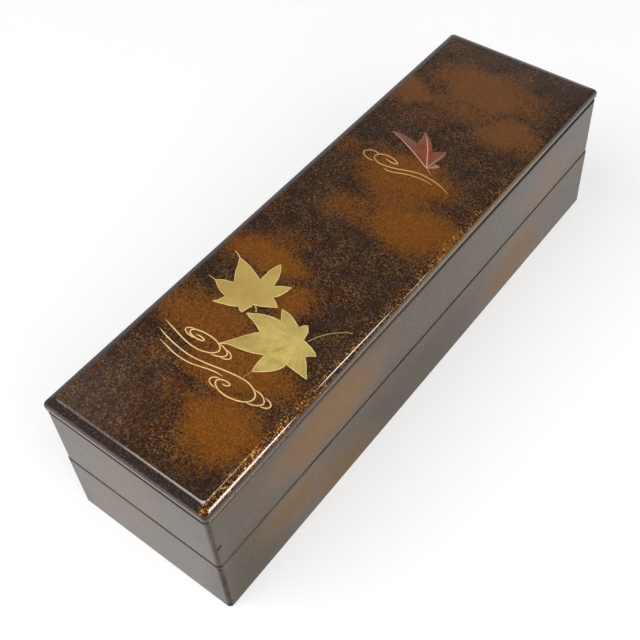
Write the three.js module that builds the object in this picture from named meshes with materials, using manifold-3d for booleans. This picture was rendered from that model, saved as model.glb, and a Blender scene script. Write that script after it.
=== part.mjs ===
// A long two-tier lacquer box with a thin lift-off lid, in millimetres with +Z up.
// The long axis lies along Y, the front end faces -Y, and the bottom rests on z = 0.
import * as THREE from "three";
import { mergeVertices } from "three/addons/utils/BufferGeometryUtils.js";
import Module from "manifold-3d";

// Driving dimensions
const bodyLength = 303; // one shaku, outside the upper tier
const bodyWidth = 89;
const lowerTierHeight = 37.4;
const upperTierHeight = 35.9;
const wallThickness = 5;
const floorThickness = 4;
const floorRabbet = 2.5; // how far the floor board runs into the walls
const cornerRadius = 2.2; // vertical corners of both tiers and of the lid
const lowerTierProud = 0.3; // the lower tier stands this far outside the upper one on each side

// Lid
const lidOverhang = 0.4;
const lidSeatInset = 1.9; // from the lid's edge to the raised seat under it
const shadowGap = 1.6; // height of the dark line under the lid's edge
const lidEdgeHeight = 2;
const shoulderDrop = 3.1;
const shoulderInset = 4.5;
const arrisCornerRadius = 1.8;
const shoulderSteps = 4;

// Strips that locate one layer in the mouth of the layer below
const stripWidth = 4;
const lidStripHeight = 3.4;
const footStripHeight = 3;
const stripClearance = 0.5;

// Thin wooden keys let into saw cuts across the mitred corners
const keyThickness = 1;
const keyReach = 8.5; // from the key's sharp outer corner along each face
const keyCover = 0.8; // how far a key's outer edge lies under the wall's face
const kerfSlack = 0.15; // glue room round a key
const keyHeights = { low: 0.27, high: 0.73 }; // as shares of the wall's height

const arcSteps = 4; // segments in half a rounded corner

const lidSeatZ = lowerTierHeight + upperTierHeight;
const lidEdgeZ = lidSeatZ + shadowGap;
const halfWidth = bodyWidth / 2;
const halfLength = bodyLength / 2;

const wasm = await Module();
wasm.setup();

// Materials, one for each finish
const lidLacquer = new THREE.MeshStandardMaterial({ color: 0x50331f, roughness: 0.2, metalness: 0 });
const sideLacquer = new THREE.MeshStandardMaterial({ color: 0x6f6258, roughness: 0.2, metalness: 0 });
const innerLacquer = new THREE.MeshStandardMaterial({ color: 0x2a1a14, roughness: 0.3, metalness: 0 });
const bareWood = new THREE.MeshStandardMaterial({ color: 0xb89468, roughness: 0.7, metalness: 0 });

// A closed three.js geometry as a manifold solid.
function toSolid(geometry) {
  const bare = geometry.clone();
  bare.deleteAttribute("normal");
  bare.deleteAttribute("uv");
  const merged = mergeVertices(bare, 1e-4);
  return new wasm.Manifold(
    new wasm.Mesh({
      numProp: 3,
      vertProperties: merged.attributes.position.array,
      triVerts: new Uint32Array(merged.index.array),
    }),
  );
}

// A manifold solid as a three.js geometry.
function toGeometry(solid) {
  const mesh = solid.getMesh();
  const geometry = new THREE.BufferGeometry();
  geometry.setAttribute("position", new THREE.BufferAttribute(mesh.vertProperties, 3));
  geometry.setIndex(new THREE.BufferAttribute(mesh.triVerts, 1));
  geometry.computeVertexNormals();
  return geometry;
}

function namedMesh(name, geometry, material) {
  const mesh = new THREE.Mesh(geometry, material);
  mesh.name = name;
  return mesh;
}

// A plan outline raised between two heights.
function prism(outline, bottom, top) {
  const shape = new THREE.Shape(outline.map(([x, y]) => new THREE.Vector2(x, y)));
  const geometry = new THREE.ExtrudeGeometry(shape, { depth: top - bottom, bevelEnabled: false });
  return geometry.translate(0, 0, bottom);
}

// Points of an arc round a centre, angles in degrees.
function arc([cx, cy], radius, from, to, steps) {
  const points = [];
  for (let i = 0; i <= steps; i++) {
    const angle = THREE.MathUtils.degToRad(from + ((to - from) * i) / steps);
    points.push([cx + radius * Math.cos(angle), cy + radius * Math.sin(angle)]);
  }
  return points;
}

// A rectangle with round corners, anticlockwise from its +X, -Y corner.
function roundedRectangle(halfX, halfY, radius) {
  const corners = [[1, -1, -90], [1, 1, 0], [-1, 1, 90], [-1, -1, 180]];
  return corners.flatMap(([sx, sy, start]) =>
    arc([sx * (halfX - radius), sy * (halfY - radius)], radius, start, start + 90, 2 * arcSteps),
  );
}

// A closed solid through level outlines that all have the same number of points.
function loft(levels) {
  const count = levels[0].outline.length;
  const positions = levels.flatMap(({ outline, z }) => outline.flatMap(([x, y]) => [x, y, z]));
  const index = [];
  for (let level = 0; level + 1 < levels.length; level++) {
    for (let i = 0; i < count; i++) {
      const a = level * count + i;
      const b = level * count + ((i + 1) % count);
      index.push(a, b, b + count, a, b + count, a + count);
    }
  }
  const top = (levels.length - 1) * count;
  for (let i = 1; i + 1 < count; i++) {
    index.push(0, i + 1, i);
    index.push(top, top + i, top + i + 1);
  }
  const geometry = new THREE.BufferGeometry();
  geometry.setAttribute("position", new THREE.Float32BufferAttribute(positions, 3));
  geometry.setIndex(index);
  geometry.computeVertexNormals();
  return geometry;
}

// The four sides, each with its outward direction in plan.
const sides = {
  right: { outward: [1, 0] },
  back: { outward: [0, 1] },
  left: { outward: [-1, 0] },
  front: { outward: [0, -1] },
};

// Turns across (outward) and along distances on a side into plan coordinates.
function onSide({ outward: [ox, oy] }, across, along) {
  return [ox * across - oy * along, oy * across + ox * along];
}

// Half sizes of a tier seen from one of its sides: outward first, then along it.
function halvesOf({ outward }, halfX, halfY) {
  return outward[0] !== 0 ? [halfX, halfY] : [halfY, halfX];
}

// One wall's plan, mitred at both ends, with half of each round corner on it.
function wallOutline(side, halfX, halfY, thickness) {
  const [across, along] = halvesOf(side, halfX, halfY);
  const centreAcross = across - cornerRadius;
  const centreAlong = along - cornerRadius;
  const outline = [
    [across - thickness, -(along - thickness)],
    ...arc([centreAcross, -centreAlong], cornerRadius, -45, 0, arcSteps),
    ...arc([centreAcross, centreAlong], cornerRadius, 0, 45, arcSteps),
    [across - thickness, along - thickness],
  ];
  return outline.map(([u, v]) => onSide(side, u, v));
}

// An outline drawn at the +X, +Y corner, mirrored to another corner and kept anticlockwise.
function atCorner([sx, sy], outline) {
  const placed = outline.map(([x, y]) => [sx * x, sy * y]);
  return sx * sy > 0 ? placed : placed.reverse();
}

// The plan of a key, or of the saw cut that takes it when grown by the glue room.
// Its outer corner follows the round corner of the walls.
function keyOutline(corner, halfX, halfY, grow) {
  const x = halfX - keyCover + grow;
  const y = halfY - keyCover + grow;
  const radius = cornerRadius - keyCover + grow;
  const reach = keyReach + 4 * grow;
  return atCorner(corner, [
    [x, y - reach],
    ...arc([x - radius, y - radius], radius, 0, 90, 2 * arcSteps),
    [x - reach, y],
  ]);
}

const corners = {
  front_left: [-1, -1],
  front_right: [1, -1],
  back_left: [-1, 1],
  back_right: [1, 1],
};

// Heights of the keys' undersides in a wall that stands from base to top.
function keyLevels(base, top) {
  return Object.entries(keyHeights).map(([level, share]) => ({
    level,
    z: base + share * (top - base) - keyThickness / 2,
  }));
}

// Saw cuts across one corner, a little wider than the keys that fill them.
function kerfs(corner, halfX, halfY, base, top) {
  const outline = keyOutline(corner, halfX, halfY, kerfSlack);
  return keyLevels(base, top).map(({ z }) =>
    toSolid(prism(outline, z - kerfSlack, z + keyThickness + kerfSlack)),
  );
}

// A mitred wall with a rabbet for the floor board and saw cuts for the keys.
function tierWall(side, halfX, halfY, base, top) {
  const shelf = base + floorThickness;
  const lip = wallOutline(side, halfX, halfY, wallThickness - floorRabbet);
  const full = wallOutline(side, halfX, halfY, wallThickness);
  let solid = toSolid(prism(lip, base, shelf)).add(toSolid(prism(full, shelf, top)));
  for (const corner of Object.values(corners)) {
    for (const kerf of kerfs(corner, halfX, halfY, base, top)) solid = solid.subtract(kerf);
  }
  return toGeometry(solid);
}

// A floor board that fills the rabbets of the four walls.
function tierFloor(halfX, halfY, base) {
  const inset = wallThickness - floorRabbet;
  const floor = new THREE.BoxGeometry(2 * (halfX - inset), 2 * (halfY - inset), floorThickness);
  return floor.translate(0, 0, base + floorThickness / 2);
}

// Walls, floor board and corner keys of one tier.
function makeTier(name, proud, base, top) {
  const halfX = halfWidth + proud;
  const halfY = halfLength + proud;
  const tier = new THREE.Group();
  for (const [sideName, side] of Object.entries(sides)) {
    const wall = tierWall(side, halfX, halfY, base, top);
    tier.add(namedMesh(`${name}_wall_${sideName}`, wall, sideLacquer));
  }
  tier.add(namedMesh(`${name}_floor`, tierFloor(halfX, halfY, base), innerLacquer));
  for (const [cornerName, corner] of Object.entries(corners)) {
    for (const { level, z } of keyLevels(base, top)) {
      const key = prism(keyOutline(corner, halfX, halfY, 0), z, z + keyThickness);
      tier.add(namedMesh(`${name}_key_${cornerName}_${level}`, key, bareWood));
    }
  }
  return tier;
}

// Four strips in a frame whose outer faces clear the mouth that they drop into.
function makeStrips(name, mouthX, mouthY, bottom, height) {
  const strips = new THREE.Group();
  const outerX = mouthX - stripClearance;
  const outerY = mouthY - stripClearance;
  for (const [sideName, side] of Object.entries(sides)) {
    const isLong = side.outward[0] !== 0;
    const [across] = halvesOf(side, outerX, outerY);
    const length = 2 * (isLong ? outerY : outerX - stripWidth);
    const size = isLong ? [stripWidth, length] : [length, stripWidth];
    const strip = new THREE.BoxGeometry(size[0], size[1], height);
    const mesh = namedMesh(`${name}_${sideName}`, strip, innerLacquer);
    const [x, y] = onSide(side, across - stripWidth / 2, 0);
    mesh.position.set(x, y, bottom + height / 2);
    strips.add(mesh);
  }
  return strips;
}

// The lid board: a raised seat, a short upright edge, a rounded shoulder and a flat top.
function makeLidBoard() {
  const halfX = halfWidth + lidOverhang;
  const halfY = halfLength + lidOverhang;
  const level = (z, inset, radius) => ({
    z,
    outline: roundedRectangle(halfX - inset, halfY - inset, radius),
  });
  const shoulderZ = lidEdgeZ + lidEdgeHeight;
  const seatRadius = cornerRadius - lidSeatInset;
  const levels = [
    level(lidSeatZ, lidSeatInset, seatRadius),
    level(lidEdgeZ, lidSeatInset, seatRadius),
    level(lidEdgeZ, 0, cornerRadius),
  ];
  for (let i = 0; i <= shoulderSteps; i++) {
    const share = i / shoulderSteps;
    const angle = (share * Math.PI) / 2;
    const radius = THREE.MathUtils.lerp(cornerRadius, arrisCornerRadius, share);
    const inset = shoulderInset * (1 - Math.cos(angle));
    levels.push(level(shoulderZ + shoulderDrop * Math.sin(angle), inset, radius));
  }
  return namedMesh("lid_board", loft(levels), lidLacquer);
}

const writingBox = new THREE.Group();

const lid = new THREE.Group();
lid.add(makeLidBoard());
lid.add(
  makeStrips(
    "lid_strip",
    halfWidth - wallThickness,
    halfLength - wallThickness,
    lidSeatZ - lidStripHeight,
    lidStripHeight,
  ),
);
writingBox.add(lid);

const upperTier = makeTier("upper_tier", 0, lowerTierHeight, lidSeatZ);
upperTier.add(
  makeStrips(
    "upper_tier_foot_strip",
    halfWidth + lowerTierProud - wallThickness,
    halfLength + lowerTierProud - wallThickness,
    lowerTierHeight - footStripHeight,
    footStripHeight,
  ),
);
writingBox.add(upperTier);

writingBox.add(makeTier("lower_tier", lowerTierProud, 0, lowerTierHeight));

export default writingBox;
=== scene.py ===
import math
from functools import partial, reduce

import bmesh
import bpy
from mathutils import Matrix, Vector


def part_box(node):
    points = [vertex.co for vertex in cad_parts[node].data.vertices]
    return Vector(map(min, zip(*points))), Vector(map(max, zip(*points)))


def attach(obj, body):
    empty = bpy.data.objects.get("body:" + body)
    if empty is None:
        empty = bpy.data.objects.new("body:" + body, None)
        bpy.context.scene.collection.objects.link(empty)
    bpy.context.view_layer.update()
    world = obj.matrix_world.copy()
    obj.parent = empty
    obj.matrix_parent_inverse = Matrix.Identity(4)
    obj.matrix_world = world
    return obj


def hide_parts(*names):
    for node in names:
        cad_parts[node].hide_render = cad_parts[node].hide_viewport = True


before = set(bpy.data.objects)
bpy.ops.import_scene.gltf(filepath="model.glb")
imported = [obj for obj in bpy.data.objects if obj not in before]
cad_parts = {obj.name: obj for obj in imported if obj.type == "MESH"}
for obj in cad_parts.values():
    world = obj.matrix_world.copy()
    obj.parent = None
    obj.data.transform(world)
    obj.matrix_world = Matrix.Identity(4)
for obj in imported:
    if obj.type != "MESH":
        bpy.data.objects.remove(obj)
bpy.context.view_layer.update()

MM = 0.001

# Sizes taken from the frame, in metres
LID_LOW, LID_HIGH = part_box("lid_board")
WALL_LOW, WALL_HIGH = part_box("upper_tier_wall_right")
RAISED_PAINT = 0.00012  # room over the lid's flat top for the painted ornament
LID_TOP = LID_HIGH.z - RAISED_PAINT
TIER_SPLIT = WALL_LOW.z
LOWER_HALF_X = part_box("lower_tier_wall_right")[1].x
LOWER_HALF_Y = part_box("lower_tier_wall_back")[1].y
LID_SEAT = LID_LOW.z

# Sizes of edges and corners, in metres
CORNER_RADIUS = 2.2 * MM
ARRIS_CORNER_RADIUS = 2.8 * MM
EDGE_ROUNDING = 0.6 * MM
MOUTH_ROUNDING = 1.0 * MM  # outer edge of the upper tier's mouth, under the lid
LID_EDGE_ROUNDING = 0.3 * MM
INNER_ROUNDING = 0.5 * MM
WALL_THICKNESS = 5.0 * MM
FLOOR_THICKNESS = 4.0 * MM
FLOOR_RABBET = 2.5 * MM
END_SHOULDER_INSET = 5.25 * MM
SIDE_SHOULDER_SHARE = 0.91  # the long sides' shoulder against the ends' one
SHOULDER_DROP = 3.1 * MM - RAISED_PAINT
ARRIS_REACH = 1.5 * MM  # width of the small rounding between shoulder and top
SHADOW_GAP = 1.6 * MM
SEAT_INSET = 1.9 * MM
SEAT_CHAMFER = 0.3 * MM
FLOOR_ROUNDING = 0.1 * MM
STRIP_ROUNDING = 0.4 * MM

# Steps that round a shape, and angles in degrees above which an edge stays sharp
CORNER_STEPS = 16
EDGE_STEPS = 4
BOARD_STEPS = 3
SHOULDER_STEPS = 20
ARRIS_STEPS = 5
SHARP_ANGLE = 40
LID_SHARP_ANGLE = 14
LINE_SHARP_ANGLE = 60

# Sizes of the lacquer's grain, in metres
FLAKE_SIZE = 0.74 * MM
FINE_FLAKE_SIZE = 0.40 * MM
PATCH_SIZE = 12 * MM
HUE_SIZE = 20 * MM
CLOUD_EDGE_SIZE = 16 * MM
SIDE_DRIFT = 10 * MM  # how far the edges of clouds wander on the sides
GOLD_GRAIN_SIZE = 0.25 * MM

# Heights and widths of the painted ornament, in mm
LEAF_HEIGHT = 0.07
RED_LEAF_HEIGHT = 0.6 * LEAF_HEIGHT
LEAF_SINK = 0.02
LINE_HEIGHT = 0.10
LINE_TIP_SHARE = 0.3  # width of a tapered line's tip against its full width
LINE_SPACING = 0.35
OUTLINE_SPACING = 1.0
STREAM_WIDTH = 0.66
CRESCENT_WIDTH = 0.60
GOLD_RIM_WIDTH = 0.44
RED_RIM_WIDTH = 0.32

# The photograph's camera
VIEW_AZIMUTH = math.radians(40.03)
VIEW_ELEVATION = math.radians(49.26)
VIEW_ROLL = math.radians(-3.71)
VIEW_DISTANCE = 0.4971
VIEW_TARGET_HEIGHT = 0.040
VIEW_SIDEWAYS = -0.00797
VIEW_UPWARDS = -0.00373
FOCAL_PIXELS = 1015.4
PHOTO_PIXELS = 640
OPTICAL_CENTRE = (340.05, 289.40)  # pixel in the photograph
SENSOR_WIDTH = 36.0

# The studio
FLOOR_HALF = 4.0
FLOOR_DROP = 0.0002
FLOOR_GLOW = 0.55
STUDIO_CENTRE = (0, 0, 0.05)

# Lamps: place, target, size, power and, for the ovals that show only in gloss, the lean of the first size
LAMPS = {
    "key": ((-0.65, -0.95, 1.45), STUDIO_CENTRE, (1.5, 1.5), 22, None),
    "fill": ((1.1, -0.3, 1.2), STUDIO_CENTRE, (1.2, 1.2), 16, None),
    "shoulder_light": ((0.536, 0.075, 0.648), (0.04, -0.125, 0.08), (0.20, 0.275), 2.6, (0.236, 0, -0.172)),
    "thin_shoulder_light": (
        (0.392, 0.318, 0.686), (0.04, -0.06, 0.08), (0.175, 0.045), 0.36, (0.079, 0.105, -0.078),
    ),
    "short_shoulder_light": (
        (0.48, 0.426, 0.588), (0.04, -0.012, 0.08), (0.07, 0.032), 0.07, (0.02, 0.028, -0.029),
    ),
    "end_arris_light": ((-0.40, -0.16, 0.88), (-0.40, -0.16, 0), (0.75, 0.42), 1.5, (1, 0, 0)),
    "near_arris_light": ((-0.28, -0.129, 0.92), (-0.28, -0.129, 0), (0.44, 0.26), 2.1, (1, 0, 0)),
    "corner_light": ((-0.169, -0.051, 0.96), (-0.169, -0.051, 0), (0.50, 0.20), 0.5, (0.25, 0.2, 0)),
    "side_arris_light": ((-0.045, 0.078, 0.84), (-0.045, 0.078, 0), (0.18, 0.15), 0.5, (0, 1, 0)),
}


class Shader:
    """The node tree of a material or world. A value is a plain number or colour, or a node's socket."""

    def __init__(self, owner):
        owner.use_nodes = True
        self.owner = owner
        self.tree = owner.node_tree
        self.tree.nodes.clear()

    def add(self, kind, values=None, **settings):
        node = self.tree.nodes.new(kind)
        for key, value in settings.items():
            setattr(node, key, value)
        for key, value in (values or {}).items():
            socket = node.inputs[key]
            if isinstance(value, bpy.types.NodeSocket):
                self.tree.links.new(value, socket)
            else:
                socket.default_value = value
        return node

    def maths(self, operation, a, b=0.0, clamp=False):
        node = self.add("ShaderNodeMath", {0: a, 1: b}, operation=operation, use_clamp=clamp)
        return node.outputs[0]

    def vector(self, operation, a, b=(0, 0, 0), c=(0, 0, 0)):
        node = self.add("ShaderNodeVectorMath", {0: a, 1: b, 2: c}, operation=operation)
        return node.outputs["Value" if operation == "LENGTH" else "Vector"]

    def product(self, *values):
        return reduce(partial(self.maths, "MULTIPLY"), values)

    def greatest(self, *values):
        return reduce(partial(self.maths, "MAXIMUM"), values)

    def parts(self, place):
        """The x, y and z of a point."""
        return self.add("ShaderNodeSeparateXYZ", {0: place}).outputs

    def distance(self, place, x, y, z):
        """How far a point lies from the one at x, y and z in mm."""
        return self.vector("LENGTH", self.vector("SUBTRACT", place, (x * MM, y * MM, z * MM)))

    def ramp(self, value, low, high, to_low=0.0, to_high=1.0):
        values = {"Value": value, "From Min": low, "From Max": high, "To Min": to_low, "To Max": to_high}
        return self.add("ShaderNodeMapRange", values, interpolation_type="SMOOTHSTEP").outputs[0]

    def mix(self, factor, a, b):
        return self.add("ShaderNodeMix", {0: factor, 6: a, 7: b}, data_type="RGBA").outputs[2]

    def place(self):
        """The point on the object, in metres in the model's own frame."""
        return self.add("ShaderNodeTexCoord").outputs["Object"]

    def noise(self, place, size, detail=2.0):
        """Smooth noise from 0 to 1 with features of about this size in metres."""
        values = {"Vector": place, "Scale": 1 / size, "Detail": detail}
        return self.add("ShaderNodeTexNoise", values).outputs["Fac"]

    def cells(self, place, size):
        """Cells of this size in metres: a random colour, its numbers, and how far off the middle is."""
        cell = self.add("ShaderNodeTexVoronoi", {"Vector": place, "Scale": 1 / size}).outputs
        numbers = self.add("ShaderNodeSeparateColor", {0: cell["Color"]}).outputs
        return cell["Color"], numbers, cell["Distance"]

    def tilted_normal(self, cell_colour, amount):
        """The surface normal leaned a little differently in each cell."""
        lean = self.vector("SUBTRACT", cell_colour, (0.5, 0.5, 0.5))
        normal = self.add("ShaderNodeNewGeometry").outputs["Normal"]
        return self.vector("NORMALIZE", self.vector("MULTIPLY_ADD", lean, (amount,) * 3, normal))

    def finish(self, values):
        surface = self.add("ShaderNodeBsdfPrincipled", values)
        self.add("ShaderNodeOutputMaterial", {"Surface": surface.outputs[0]})
        return self.owner


def new_shader(name):
    return Shader(bpy.data.materials.new(name))


def rgba(red, green, blue):
    """A colour as written in a picture, 0 to 255, turned into linear numbers."""
    def linear(level):
        share = level / 255
        return share / 12.92 if share <= 0.04045 else ((share + 0.055) / 1.055) ** 2.4

    return (linear(red), linear(green), linear(blue), 1.0)


# Dark dull colour of wear, also used for painted shade
WEAR_AND_SHADE_COLOUR = rgba(29, 25, 23)

# Small ring-shaped dent on the front right corner, and chips along it, in mm
DENT = (44.9, -148.9, 51.3)
DENT_RADIUS = 1.0 * MM
NICKS = [(44.3, -151.3, 2.6), (44.3, -151.3, 12.0), (44.3, -151.3, 34.8)]

# Clouds of orange lacquer: centre, radii (mm) and strength
LID_CLOUDS = [
    ((-30, 134, 80), (26, 16, 30), 0.24),
    ((-2, 117, 80), (40, 20, 30), 0.82),
    ((-34, 97, 80), (18, 11, 30), 0.85),
    ((24, 93, 80), (24, 16, 30), 0.76),
    ((-5, 98, 80), (34, 14, 30), 0.60),
    ((-16, 85, 80), (20, 8, 30), 0.40),
    ((-37, 42, 80), (12, 8, 30), 0.40),
    ((2, 40, 80), (36, 18, 30), 0.80),
    ((8, 26, 80), (20, 14, 30), 0.66),
    ((22, 12, 80), (30, 18, 30), 0.86),
    ((-8, 10, 80), (22, 14, 30), 0.55),
    ((-20, -23, 80), (18, 9, 30), 0.45),
    ((-20, -38, 80), (25, 15, 30), 0.92),
    ((6, -53, 80), (14, 12, 30), 0.78),
    ((-17, -80, 80), (32, 17, 30), 0.76),
    ((12, -92, 80), (32, 18, 30), 0.80),
    ((-24, -106, 80), (14, 8, 30), 0.36),
    ((-6, -116, 80), (12, 9, 30), 0.38),
    ((23, -119, 80), (26, 22, 30), 0.96),
    ((-16, -134, 80), (46, 22, 30), 0.22),
]
SIDE_CLOUDS = [
    ((45, -76, 56), (12, 48, 20), 0.75),
    ((45, -104, 24), (12, 30, 16), 0.64),
    ((45, -72, 9), (12, 30, 18), 0.62),
    ((45, 76, 14), (12, 42, 23), 0.64),
    ((45, 106, 50), (12, 32, 18), 0.42),
    ((-45, -60, 22), (12, 44, 20), 0.70),
    ((-45, 30, 54), (12, 46, 20), 0.70),
    ((-45, 108, 20), (12, 30, 20), 0.60),
    ((-2, -152, 54), (34, 12, 26), 0.30),
    ((-18, -152, 18), (30, 12, 24), 0.32),
    ((14, 152, 50), (34, 12, 22), 0.50),
    ((-20, 152, 18), (30, 12, 20), 0.45),
]
# Stretches of the sides with painted shade, browner and darker, in the same way
SIDE_SHADE = [
    ((45, -146, 14), (12, 44, 30), 0.9),
    ((45, -20, 12), (12, 84, 30), 0.9),
    ((-45, -120, 14), (12, 50, 24), 0.6),
]
# Stretches of the sides with painted reflection, paler and greyer, in the same way
SIDE_REFLECTION = [
    ((45, 122, 58), (12, 110, 26), 1.0),
    ((0, -152, 40), (60, 12, 60), 0.75),
]


def cloud_mask(shader, place, clouds, drift_size):
    """1 inside the clouds and 0 outside, with wandering soft edges."""
    values = {"Vector": place, "Scale": 1 / CLOUD_EDGE_SIZE, "Detail": 3.0}
    drift = shader.add("ShaderNodeTexNoise", values).outputs["Color"]
    drift = shader.vector("SUBTRACT", drift, (0.5, 0.5, 0.5))
    moved = shader.vector("MULTIPLY_ADD", drift, (drift_size,) * 3, place)
    total = 0.0
    for centre, radii, strength in clouds:
        stretch = [1 / (radius * MM) for radius in radii]
        shift = [-position / radius for position, radius in zip(centre, radii)]
        distance = shader.vector("LENGTH", shader.vector("MULTIPLY_ADD", moved, stretch, shift))
        total = shader.greatest(total, shader.ramp(distance, 1.3, 0.3, 0.0, strength))
    return total


def flakes(shader, place, size):
    """Metal flakes: how bright each one is, and random numbers and a tilt that stay the same over it."""
    tilt, chance, from_middle = shader.cells(place, size)
    dot = shader.ramp(from_middle, 0.75, 0.2)
    lit = shader.ramp(chance[0], 0.35, 1.0)
    return shader.product(dot, lit), chance, tilt


def dusted_ground(shader, place, colours, settings, dots, chance):
    """The dark ground with its dust, and how much of it is dust."""
    patchy = shader.ramp(shader.noise(place, PATCH_SIZE, 4.0), 0.32, 0.68, 0.45, 1.3)
    strength = shader.product(patchy, settings["flake_strength"])
    amount = shader.maths("MULTIPLY", dots, strength, clamp=True)
    hue = shader.ramp(shader.noise(place, HUE_SIZE, 2.0), 0.35, 0.65)
    gold = shader.mix(hue, colours["gold_flake"], colours["brown_flake"])
    dust = shader.mix(chance[1], colours["red_flake"], gold)
    cool = shader.ramp(shader.noise(place, settings["mottle_size"], 3.0), 0.4, 0.6)
    bare = shader.mix(cool, colours["ground"], colours["ground_cool"])
    return shader.mix(amount, bare, dust), amount


def sprayed_share(shader, place, clouds, settings, chance, fine_chance):
    """How thickly the clouds cover the ground, scattered from flake to flake."""
    scatter = shader.product(chance[2], 0.5)
    scatter = shader.maths("ADD", scatter, shader.product(fine_chance[2], 0.3))
    scatter = shader.product(scatter, settings["cloud_scatter"])
    mask = cloud_mask(shader, place, clouds, settings["cloud_drift"])
    sprayed = shader.maths("SUBTRACT", mask, scatter)
    return shader.ramp(sprayed, settings["cloud_start"], settings["cloud_full"])


def cloud_glow(shader, place, colours, settings, grain):
    """The clouds' colour, which turns along one axis, with darker grains in it."""
    axis, turn_start, turn_end = settings["cloud_turn"]
    beyond = shader.ramp(shader.parts(place)[axis], turn_start, turn_end)
    cloud = shader.mix(beyond, colours["cloud"], colours["cloud_beyond"])
    dark_share = shader.product(grain, shader.ramp(beyond, 0.0, 1.0, 0.8, 0.35))
    return shader.mix(dark_share, cloud, colours["cloud_dark"])


def touched(shader, place, dots, colour, touches):
    """A colour with touches laid over it. Each touch gives its share at a place and its own colour."""
    for touch in touches:
        share, touch_colour = touch(shader, place, dots)
        colour = shader.mix(share, colour, touch_colour)
    return colour


def sprinkled_lacquer(name, clouds, colours, settings, under, over, wear_and_shade):
    """Clear lacquer over metal dust sprinkled on a dark ground, with soft clouds of orange."""
    shader = new_shader(name)
    place = shader.place()
    coarse, chance, tilt = flakes(shader, place, FLAKE_SIZE)
    fine, fine_chance, _ = flakes(shader, place, FINE_FLAKE_SIZE)
    dots = shader.maths("ADD", coarse, shader.product(fine, 0.6))
    ground, amount = dusted_ground(shader, place, colours, settings, dots, chance)
    ground = touched(shader, place, dots, ground, under)
    sprayed = sprayed_share(shader, place, clouds, settings, chance, fine_chance)
    glow = cloud_glow(shader, place, colours, settings, fine_chance[1])
    colour = touched(shader, place, dots, shader.mix(sprayed, ground, glow), over)
    # Wear and painted shade, both darkened and dulled
    worn_and_shaded = wear_and_shade(shader, place)
    dulled = shader.ramp(sprayed, 0.25, 0.8, 0.0, settings["cloud_dulling"])
    dulled = shader.maths("ADD", shader.product(worn_and_shaded, 0.75), dulled)
    coat = shader.product(shader.maths("SUBTRACT", 1.0, dulled), settings["coat"])
    return shader.finish(
        {
            "Base Color": shader.mix(worn_and_shaded, colour, WEAR_AND_SHADE_COLOUR),
            "Metallic": shader.product(amount, 0.35),
            "Roughness": 0.4,
            "Specular IOR Level": 0.0,
            "Normal": shader.tilted_normal(tilt, 0.5),
            "Coat Weight": coat,
            "Coat Roughness": 0.05,
            "Coat IOR": 1.5,
        }
    )


def lid_right(shader, split):
    """1 at the lid's right edge."""
    return shader.ramp(split[0], LID_HIGH.x - 3 * MM, LID_HIGH.x - 1 * MM)


def lid_near(shader, split):
    """1 towards the lid's near end."""
    return shader.ramp(split[1], -65 * MM, -110 * MM)


def end_reflection(shader, place, dots):
    """A painted reflection: a faint pale haze towards both ends of the lid, and only on the left at the
    near end.
    """
    split = shader.parts(place)
    left = shader.ramp(split[0], 4 * MM, -34 * MM)
    near = shader.product(shader.ramp(split[1], -98 * MM, -140 * MM, 0.0, 0.2), left)
    far = shader.ramp(split[1], 120 * MM, 145 * MM, 0.0, 0.11)
    return shader.greatest(near, far), rgba(102, 93, 90)


def shaded_shoulder(shader, place, dots):
    """Painted shade: purple-brown lacquer with hardly any dust on the shoulder, which faces away from the
    light, but on the right, which catches it, only its lower part.
    """
    split = shader.parts(place)
    on_right = shader.ramp(split[0], LID_HIGH.x - 6 * MM, LID_HIGH.x - 2 * MM)
    depth = shader.maths("SUBTRACT", LID_TOP, split[2])
    everywhere = shader.ramp(depth, 0.05 * MM, 0.3 * MM)
    lower_part = shader.ramp(depth, 1.2 * MM, 2.2 * MM)
    not_right = shader.maths("SUBTRACT", 1.0, on_right)
    share = shader.maths("ADD", lower_part, shader.product(everywhere, not_right))
    return shader.maths("MINIMUM", share, 1.0), shader.mix(dots, rgba(44, 34, 30), rgba(80, 65, 60))


def edge_glints(shader, place, dots):
    """Painted glints: thicker gold dust in drifts along the right edge of the lid, where flakes catch the
    light, thinning out towards the far end.
    """
    split = shader.parts(place)
    near_edge = shader.ramp(split[0], LID_HIGH.x - 6 * MM, LID_HIGH.x - 2.5 * MM)
    thick = shader.ramp(split[1], -60 * MM, -105 * MM, 0.7, 1.7)
    fading = shader.ramp(split[1], 130 * MM, 10 * MM)
    above_lip = shader.ramp(split[2], LID_TOP - 2.6 * MM, LID_TOP - 2.1 * MM)
    drifts = shader.ramp(shader.noise(place, 6 * MM, 3.0), 0.34, 0.6, 0.35, 1.0)
    density = shader.product(near_edge, thick, fading, above_lip, drifts)
    edge = shader.maths("MULTIPLY", density, shader.ramp(dots, 0.1, 0.65), clamp=True)
    tone = shader.ramp(shader.noise(place, 2 * MM), 0.35, 0.65)
    return edge, shader.mix(tone, rgba(150, 76, 20), rgba(204, 152, 66))


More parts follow.
